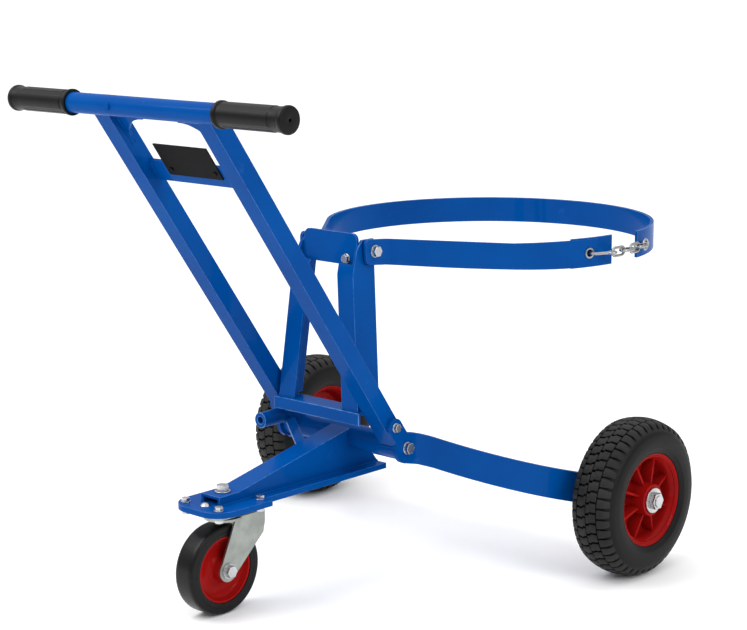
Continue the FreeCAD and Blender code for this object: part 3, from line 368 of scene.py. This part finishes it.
grip_rubber = moulded_rubber(
    "grip_rubber",
    base=(0.003, 0.003, 0.0032, 1),
    dust=(0.016, 0.016, 0.017, 1),
    dust_share=0.5,
    shine=0.3,
    grain_size=900.0,
)
grip_outline = eased(
    [
        (0.0, 16.9, 0.4),
        (0.0, 21.8, 1.8),
        (6.5, 21.8, 2.2),
        (8.5, 19.3, 1.6),
        (14.0, 19.2, 0.3),
        (15.5, 19.2, 0.3),
        (118.5, 19.2, 0.3),
        (120.0, 19.2, 0.3),
        (128.0, 19.2, 6.0),
        (139.5, 20.2, 2.0),
        (142.0, 21.8, 2.0),
        (149.0, 21.8, 3.4),
        (149.6, 9.0, 3.0),
        (149.0, 2.6, 0.7),
        (143.2, 2.5, 0.3),
        (143.2, 16.9, 0.3),
    ]
)
panel_rise = 0.0009
panel_start = 0.015
panel_end = 0.119
panel_half_turn = math.radians(33)
quarter = math.pi / 2
for node, hand in (("right_grip", 1), ("left_grip", -1)):
    low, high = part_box(node)
    centre = (low + high) / 2
    centre.x = low.x if hand > 0 else high.x
    mesh = bmesh.new()
    lathe(mesh, grip_outline, centre, hand, steps=144)
    for vert in mesh.verts:
        place = vert.co - centre
        turn = math.atan2(place.z, place.y) % quarter
        if panel_start < hand * place.x < panel_end and min(turn, quarter - turn) < panel_half_turn:
            vert.co += Vector((0, place.y, place.z)).normalized() * panel_rise
    bmesh.ops.recalc_face_normals(mesh, faces=mesh.faces)
    grip = finished(mesh, node + "_sleeve", "trolley", grip_rubber)
    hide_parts(node)


# Gussets and cross plate: flat steel plates between the legs, laser-cut and welded in.
# The gussets stiffen the corners under the handle, and the cross plate carries the label.
for node in ("right_gusset", "left_gusset", "cross_plate"):
    soft_edged(node, blue, width=0.0009)
bead_inset = 0.3
gusset_half = 3.0
gusset_heights = (handle_up - 92, handle_up - 24)
gusset_reach = (44, 102)
plate_sides = (5.0, 11.0)
plate_heights = (handle_up - 172, handle_up - 135)
plate_seams = []
for hand in (1, -1):
    side = hand * (leg_inner - bead_inset)
    for out in (-gusset_half, gusset_half):
        plate_seams.append([on_legs(side, out, up) for up in gusset_heights])
    front = handle_up - math.sqrt(handle_radius**2 - (gusset_half + handle_out) ** 2)
    plate_seams.append([on_legs(hand * across, -gusset_half, front) for across in gusset_reach])
    for out in plate_sides:
        plate_seams.append([on_legs(side, out, up) for up in plate_heights])
weld("plate_welds", plate_seams, bead=0.0019)


# Label plate: a thin black sheet riveted to the cross plate with two dome-headed rivets.
# It is left bare, with the fine stipple of a stoved matt paint.
matt_black, tree, place = start_finish("label_matt_black")
stipple = tree.noise(place, scale=1500.0, detail=2.0)
rub = tree.noise(place, scale=35.0, detail=5.0).between(0.5, 0.8)
edge = tree.add("ShaderNodeAttribute", {"attribute_name": "edge"}, out="Fac")
colour = (rub * 0.2 + edge * 0.5).mix((0.003, 0.003, 0.0035, 1), (0.03, 0.03, 0.032, 1))
values = {"Base Color": colour, "Roughness": 0.42 + rub * 0.12, "Specular IOR Level": 0.03}
end_finish(tree, stipple, depth=0.0001, values=values)
soft_edged("label_plate", matt_black, width=0.0005)
coat("label_rivets", matt_black)


# Pivot tube: a thick-walled tube across the feet of the legs, bored for the bolts of the lower arms.
# The legs are coped to it and welded all round.
soft_edged("pivot_tube", blue, width=0.001)
pivot_radius = 21.0
half_steps = 6
foot_loops = []
for hand in (1, -1):
    loop = []
    steps = [leg_half_depth * (step / half_steps - 1) for step in range(2 * half_steps + 1)]
    for across, outs in ((leg_inner, steps), (leg_outer, reversed(steps))):
        for out in outs:
            loop.append(on_legs(hand * across, out, math.sqrt(pivot_radius**2 - out**2)))
    foot_loops.append(loop + loop[:1])
weld("foot_welds", foot_loops, bead=0.0026)


# Cross angle, uprights and head plate: rolled steel angle and plate.
# The angle sits between the feet of the legs, the uprights stand on it and lean to the load,
# and the head plate closes them at the top.
for node in ("cross_angle", "right_upright", "left_upright", "head_plate"):
    soft_edged(node, blue, width=0.0014)
angle_low, angle_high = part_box("cross_angle")
foot_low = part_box("right_upright")[0]
foot_inner = 0.0585
foot_outer = 0.0968
foot_depth = Vector((0, 0.036, 0))
angle_end_start = 0.009
angle_end_depth = Vector((0, 0.033, 0))
upright_seams = []
for hand in (1, -1):
    inner = Vector((hand * foot_inner, foot_low.y, angle_high.z))
    outer = Vector((hand * foot_outer, foot_low.y, angle_high.z))
    end = Vector((hand * leg_inner / 1000, angle_low.y + angle_end_start, angle_high.z))
    upright_seams.append([inner, outer, outer + foot_depth])
    upright_seams.append([end, end + angle_end_depth])
weld("upright_welds", upright_seams, bead=0.0022)


# Pin socket and brace: a short length of bored bar at the foot of the left leg, and a flat strip
# that ties it down to the castor arm. Both are welded.
soft_edged("pin_socket", blue, width=0.0012)
soft_edged("socket_brace", blue, width=0.0008)
socket_low, socket_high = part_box("pin_socket")
socket_radius = (socket_high.x - socket_low.x) / 2
socket_middle = Vector(((socket_low.x + socket_high.x) / 2, 0, socket_low.z + socket_radius))
foot = on_legs(0, -leg_half_depth, 0)
ring_steps = 24
ring = []
for step in range(ring_steps + 1):
    angle = 2 * math.pi * step / ring_steps
    spot = socket_middle + Vector((math.cos(angle), 0, math.sin(angle))) * socket_radius
    spot.y = foot.y - (spot.z - foot.z) * math.tan(leg_lean)
    ring.append(spot)
weld("socket_weld", [ring], bead=0.0024)


# Castor arm and base plate: a folded channel that tapers from the pivot tube to the nose,
# on a plate with a rounded nose that takes the castor. Long fillet welds join them.
soft_edged("base_plate", blue, width=0.0014)
soft_edged("castor_arm", blue, width=0.0022)
arm_low, arm_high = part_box("castor_arm")
seam_outset = 0.0002
seam_stop = arm_high.y - 0.004
arm_foot = []
for hand in (1, -1):
    side = hand * (arm_high.x + seam_outset)
    arm_foot.append([Vector((side, along, arm_low.z)) for along in (arm_low.y, seam_stop)])
arm_foot.append([Vector((side, arm_high.y, arm_low.z)) for side in (arm_low.x, arm_high.x)])
weld("arm_welds", arm_foot, bead=0.0022)


# Lower arms: flat bars bowed out round the load, from the pivot tube down to the wheel axles.
# A flat cross bar ties them where the load stands.
for node in ("right_lower_arm", "left_lower_arm", "lower_cross_bar"):
    soft_edged(node, blue, width=0.0016)
bar_low, bar_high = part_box("lower_cross_bar")
seam_inset = 0.001
inset_growth = 5
seam_margin = 0.002
bar_seams = []
for side in (bar_low.x, bar_high.x):
    inward = -seam_inset if side > 0 else seam_inset
    for height in (bar_low.z, bar_high.z):
        start = Vector((side + inward * inset_growth, bar_low.y + seam_margin, height))
        end = Vector((side + inward, bar_high.y - seam_margin, height))
        bar_seams.append([start, end])
weld("bar_welds", bar_seams, bead=0.0022)


# Retaining band: a flat steel strip in two lengths, bent to the load and bolted to the uprights.
# A thin tongue is welded behind the end of the right length, and tapered packers sit under the bolts.
for node in ("right_band", "left_band"):
    soft_edged(node, blue, width=0.0014)
for node in ("band_tongue", "right_packer", "left_packer"):
    soft_edged(node, blue, width=0.0008)
band_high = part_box("left_band")[1]
band_outer_radius = 0.3085
load_middle = Vector((0, band_high.y - band_outer_radius, 0))
end_turn = math.radians(-11.3)
end_radius = 0.3034
end_heights = (0.5435, 0.5885)
band_end = load_middle + Vector((math.cos(end_turn), math.sin(end_turn), 0)) * end_radius
end_seam = [band_end + Vector((0, 0, height)) for height in end_heights]
weld("tongue_weld", [end_seam], bead=0.0022)


# Bolts, nuts and washers: standard sizes in steel, plated with bright zinc.
# Their hexagons are chamfered, and plain washers spread the load on the paint.
def plated_metal(name, base, tint, shine, brushing):
    """Plated steel: bright metal with cloudy staining, fine scratches and dull patches."""
    finish, tree, place = start_finish(name)
    cloud = tree.noise(place, scale=45.0, detail=4.0)
    scratch = tree.noise(place, scale=brushing, detail=5.0)
    colour = cloud.between(0.35, 0.75).mix(base, tint)
    roughness = shine + cloud * 0.16 + scratch.between(0.5, 0.7) * 0.08
    values = {"Base Color": colour, "Roughness": roughness, "Metallic": 1.0}
    end_finish(tree, scratch, depth=0.00004, values=values)
    return finish


zinc = plated_metal(
    "bright_zinc",
    base=(0.56, 0.56, 0.56, 1),
    tint=(0.4, 0.41, 0.43, 1),
    shine=0.17,
    brushing=700.0,
)
for node in (
    "lug_bolts",
    "head_bolt",
    "lower_arm_bolts",
    "castor_bolts",
    "kingpin_nut",
    "axle_nuts",
    "axle_spacers",
    "right_axle",
    "left_axle",
    "castor_axle",
    "castor_axle_nut",
):
    soft_edged(node, zinc, width=0.0008)
for node in ("tip_bolt", "kingpin"):
    coat(node, zinc)


# Main wheels: cast rims with a flared lip, a recessed web with thin ribs and a long hub.
# They are painted a glossy red and turn on two ball bearings.
red = powder_coat(
    "red_rim_paint",
    deep=(0.22, 0.004, 0.004, 1),
    mid=(0.32, 0.007, 0.006, 1),
    # Lighter red painted on the edges as a highlight, and also used for scuffs.
    highlight_and_scuff_colour=(0.45, 0.025, 0.025, 1),
    chip_colour=(0.2, 0.16, 0.15, 1),
)
bright_steel = plated_metal(
    "bearing_steel",
    base=(0.62, 0.62, 0.63, 1),
    tint=(0.5, 0.5, 0.52, 1),
    shine=0.12,
    brushing=1100.0,
)


def both_sides(half):
    """A half outline and its mirror image across the middle of a wheel."""
    return half + [(-across, radius, easing) for across, radius, easing in reversed(half)]


half_section = [
    (42.0, 21.1, 0.5),
    (42.0, 28.0, 1.4),
    (12.0, 29.5, 5.0),
    (3.6, 33.0, 4.0),
    (3.4, 66.0, 4.0),
    (10.0, 69.5, 4.0),
    (27.0, 70.5, 5.0),
    (38.5, 79.5, 2.0),
    (40.0, 83.0, 1.2),
    (36.2, 83.0, 0.8),
    (36.2, 76.2, 0.8),
]
rim_outline = eased(both_sides(half_section))
rib_corners = [(2.0, 27.0), (31.0, 27.0), (25.0, 71.5), (2.0, 69.0)]
rib_half = 2.3
rib_count = 8
rib_edge = 0.001


def add_ribs(mesh, centre, hand):
    """Thin radial ribs between the hub and the rim, on the outer side of the web."""
    for number in range(rib_count):
        angle = 2 * math.pi * (number + 0.5) / rib_count
        out = Vector((0, math.cos(angle), math.sin(angle)))
        side = Vector((0, -math.sin(angle), math.cos(angle)))
        faces = []
        for thick in (rib_half, -rib_half):
            corners = []
            for across, radius in rib_corners:
                offset = Vector((hand * across, 0, 0)) + out * radius + side * thick
                corners.append(mesh.verts.new(centre + offset / 1000))
            faces.append(corners)
        near, far = faces
        made = [mesh.faces.new(near), mesh.faces.new(far)]
        for index in range(len(near)):
            other = (index + 1) % len(near)
            made.append(mesh.faces.new((near[index], near[other], far[other], far[index])))
        edges = list(dict.fromkeys(edge for face in made for edge in face.edges))
        bmesh.ops.bevel(mesh, geom=edges, offset=rib_edge, segments=2, profile=0.5, affect="EDGES")


wheel_centre = {}
for side, hand in (("right", 1), ("left", -1)):
    low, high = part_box(side + "_tyre")
    wheel_centre[side] = (low + high) / 2
    mesh = bmesh.new()
    lathe(mesh, rim_outline, wheel_centre[side], hand, steps=96)
    add_ribs(mesh, wheel_centre[side], hand)
    bmesh.ops.recalc_face_normals(mesh, faces=mesh.faces)
    rim = finished(mesh, side + "_rim_casting", side + "_wheel", red)
    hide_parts(side + "_rim")
    coat(side + "_bearings", bright_steel)


# Tyres: solid black rubber with four staggered rows of tread blocks and smooth side walls.
# They are moulded in one piece and stretched over the rims, and dust lies on the worn tread.
tyre_rubber = moulded_rubber(
    "tyre_rubber",
    base=(0.003, 0.003, 0.0032, 1),
    dust=(0.042, 0.041, 0.039, 1),
    dust_share=0.6,
    shine=0.4,
    grain_size=700.0,
)
crown = 141.0
shoulder = 33.0
shoulder_drop = 7.0
shoulder_slope = 0.25
wall_across = 3.59
wall_height = 103.4
wall_radius_squared = 1801.0
groove = 5.0
lug_count = 46
lug_foot = 1.0
lug_ease = 0.7
lug_top_sides = (1, 2, 3)
half_pitch = math.pi / lug_count


def tread_radius(across):
    """Height of the tread's top over the axle, down over the shoulder to the side wall."""
    if abs(across) <= shoulder:
        return crown - shoulder_drop * (across / shoulder) ** 2
    wall = wall_height + math.sqrt(wall_radius_squared - (abs(across) - wall_across) ** 2)
    return wall - shoulder_slope * (abs(across) - shoulder)


half_tyre = [
    (36.3, 84.0, 0.3),
    (40.6, 83.4, 0.8),
    (44.6, 92.0, 3.0),
    (45.3, 93.5, 0.6),
    (46.0, 104.0, 5.0),
    (44.2, 117.0, 4.0),
    (41.4, 122.6, 2.0),
    (37.0, 126.0, 1.5),
    (33.0, tread_radius(33.0) - groove, 1.5),
    (22.0, tread_radius(22.0) - groove, 3.0),
    (11.0, tread_radius(11.0) - groove, 3.0),
]
tyre_outline = eased(both_sides(half_tyre), turns=4)
shoulder_lug = [
    (21.2, -8.4, 7.2),
    (25.0, -9.0, 7.4),
    (29.0, -8.8, 6.9),
    (33.0, -8.2, 6.5),
    (36.5, -7.3, 5.9),
    (40.8, -6.4, 5.0),
]
inner_lug = [
    (0.7, -5.6, 9.6),
    (5.6, -5.8, 9.4),
    (8.0, -9.2, 6.4),
    (14.0, -9.0, 6.6),
    (19.6, -8.6, 6.2),
]


def add_lug(mesh, worn, stations, centre, angle):
    """One tread block from stations of across, low edge and high edge, in millimetres."""
    rows = []
    for across, back, fore in stations:
        top = tread_radius(across)
        foot = top - groove - lug_foot
        ease = min(lug_ease, (fore - back) / 4)
        corners = (
            (back, foot),
            (back, top - ease),
            (back + ease, top),
            (fore - ease, top),
            (fore, top - ease),
            (fore, foot),
        )
        row = []
        for along, radius in corners:
            turn = angle + along / crown
            offset = Vector((across, radius * math.cos(turn), radius * math.sin(turn)))
            row.append(mesh.verts.new(centre + offset / 1000))
        rows.append(row)
    for row, following in zip(rows, rows[1:]):
        for index in range(len(row)):
            other = (index + 1) % len(row)
            face = mesh.faces.new((row[index], row[other], following[other], following[index]))
            face[worn] = 1.0 if index in lug_top_sides else 0.0
    mesh.faces.new(rows[0])
    mesh.faces.new(rows[-1])


for side in ("right", "left"):
    mesh = bmesh.new()
    worn = mesh.faces.layers.float.new("worn")
    centre = wheel_centre[side]
    lathe(mesh, tyre_outline, centre, hand=1, steps=120)
    for number in range(lug_count):
        angle = 2 * math.pi * number / lug_count
        for stations, shift in ((shoulder_lug, 0.0), (inner_lug, half_pitch)):
            add_lug(mesh, worn, stations, centre, angle + shift)
            mirrored = [(-across, -fore, -back) for across, back, fore in stations]
            add_lug(mesh, worn, mirrored, centre, angle + shift + half_pitch)
    bmesh.ops.recalc_face_normals(mesh, faces=mesh.faces)
    tyre = finished(mesh, side + "_tread_tyre", side + "_wheel", tyre_rubber)
    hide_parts(side + "_tyre")


# Castor: a pressed fork of galvanised sheet that swivels on a ball race under the nose plate.
# The top plate is bolted up, and a kingpin holds the race together.
galvanised = plated_metal(
    "galvanised_sheet",
    base=(0.37, 0.39, 0.36, 1),
    tint=(0.28, 0.3, 0.28, 1),
    shine=0.34,
    brushing=260.0,
)
for node in ("castor_fork", "castor_plate", "upper_race"):
    soft_edged(node, galvanised, width=0.0012)
coat("swivel_balls", bright_steel)


# Castor wheel: a dished red centre on a brass bush, with a smooth hard rubber tyre.
# A fine moulding line runs round each side of the tyre.
low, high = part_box("castor_tyre")
castor_centre = (low + high) / 2
half_centre = [
    (23.0, 10.1, 0.4),
    (23.0, 17.0, 1.0),
    (9.0, 19.5, 4.0),
    (3.6, 30.0, 8.0),
    (8.0, 48.5, 5.0),
    (16.0, 52.5, 1.5),
    (19.2, 53.5, 0.8),
    (19.2, 57.0, 0.5),
]
centre_outline = eased(both_sides(half_centre))
mesh = bmesh.new()
lathe(mesh, centre_outline, castor_centre, hand=1, steps=80)
bmesh.ops.recalc_face_normals(mesh, faces=mesh.faces)
castor_disc = finished(mesh, "castor_disc", "castor_wheel", red)
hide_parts("castor_rim")
hard_rubber = moulded_rubber(
    "castor_rubber",
    base=(0.005, 0.005, 0.0055, 1),
    dust=(0.02, 0.02, 0.02, 1),
    dust_share=0.4,
    shine=0.22,
    grain_size=500.0,
)
half_hoop = [
    (20.6, 57.2, 0.5),
    (21.0, 64.8, 0.2),
    (20.5, 65.3, 0.2),
    (21.0, 65.8, 0.2),
    (21.0, 77.5, 9.5),
]
hoop_outline = eased(both_sides(half_hoop), turns=7)
mesh = bmesh.new()
lathe(mesh, hoop_outline, castor_centre, hand=1, steps=112)
bmesh.ops.recalc_face_normals(mesh, faces=mesh.faces)
castor_hoop = finished(mesh, "castor_hoop", "castor_wheel", hard_rubber)
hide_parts("castor_tyre")
brass = plated_metal(
    "bush_brass",
    base=(0.6, 0.42, 0.16, 1),
    tint=(0.45, 0.3, 0.11, 1),
    shine=0.3,
    brushing=500.0,
)
coat("castor_bush", brass)


# Chain, eye and hook: welded links of bright zinc wire, hung from an eye on the long band,
# with a hook that drops through a ring into the short band.
chain_zinc = plated_metal(
    "chain_zinc",
    base=(0.4, 0.4, 0.4, 1),
    tint=(0.24, 0.245, 0.25, 1),
    shine=0.2,
    brushing=600.0,
)
for node in ("chain_eye", "hook_seat_ring", "chain_pair_1", "chain_pair_2", "chain_hook"):
    coat(node, chain_zinc)


# Floor and light: a plain white studio floor under one large soft sky, brightest overhead.
# A key light stands behind the operator's left shoulder, and a weaker one to the right.
floor_half = 60.0
mesh = bmesh.new()
bmesh.ops.create_grid(mesh, x_segments=2, y_segments=2, size=floor_half)
data = bpy.data.meshes.new("floor")
mesh.to_mesh(data)
mesh.free()
floor = bpy.data.objects.new("floor", data)
bpy.context.scene.collection.objects.link(floor)
pale, tree, place = start_finish("pale_floor")
mottle = tree.noise(place, scale=3.0, detail=2.0)
colour = mottle.mix((0.93, 0.93, 0.93, 1), (0.95, 0.95, 0.95, 1))
values = {"Base Color": colour, "Roughness": 0.6, "Specular IOR Level": 0.2}
end_finish(tree, mottle, depth=0.00001, values=values)
data.materials.append(pale)

scene = bpy.context.scene
scene.view_settings.view_transform = "Standard"
sky = bpy.data.worlds.new("studio")
scene.world = sky
sky.use_nodes = True
sky.node_tree.nodes.clear()
tree = Tap(sky.node_tree)
aim = tree.add("ShaderNodeTexCoord", out="Generated")
height = tree.add("ShaderNodeSeparateXYZ", {}, {"Vector": aim}, out="Z")
glow = height.between(-0.05, 0.95)
below_horizon = (0.16, 0.165, 0.17, 1)
overhead = (1.7, 1.7, 1.7, 1)
colour = glow.mix(below_horizon, overhead)
backdrop = tree.add("ShaderNodeBackground", {}, {"Color": colour, "Strength": 1.0})
tree.add("ShaderNodeOutputWorld", {}, {"Surface": backdrop})


def soft_box(name, place, aim, size, power):
    """A square studio light facing a point."""
    data = bpy.data.lights.new(name, "AREA")
    data.shape = "SQUARE"
    data.size = size
    data.energy = power
    lamp = bpy.data.objects.new(name, data)
    lamp.location = place
    lamp.rotation_euler = (Vector(aim) - Vector(place)).to_track_quat("-Z", "Y").to_euler()
    scene.collection.objects.link(lamp)


light_aim = (0.0, 0.0, 0.4)
soft_box("key_light", (-1.4, -2.2, 3.0), light_aim, size=2.0, power=66)
soft_box("side_light", (3.2, -0.4, 1.9), light_aim, size=1.2, power=30)


# Camera: a long lens a little above the handle, behind the operator's right hand.
# It looks down a little, and leans by less than half a degree.
camera = bpy.data.objects.new("camera", bpy.data.cameras.new("camera"))
camera.data.sensor_fit = "HORIZONTAL"
camera.data.sensor_width = 36.0
camera.data.lens = 93.66
camera.data.clip_end = 200.0
pitch = math.radians(11.04)
turn = math.radians(43.15)
roll = math.radians(-0.43)
camera_place = Vector((2.33011, -2.53077, 1.11697))
ahead = Vector((-math.sin(turn) * math.cos(pitch), math.cos(turn) * math.cos(pitch), -math.sin(pitch)))
right = Vector((math.cos(turn), math.sin(turn), 0))
up = right.cross(ahead)
right, up = right * math.cos(roll) + up * math.sin(roll), up * math.cos(roll) - right * math.sin(roll)
camera.matrix_world = Matrix(
    (
        (right.x, up.x, -ahead.x, camera_place.x),
        (right.y, up.y, -ahead.y, camera_place.y),
        (right.z, up.z, -ahead.z, camera_place.z),
        (0, 0, 0, 1),
    )
)
scene.collection.objects.link(camera)
scene.camera = camera
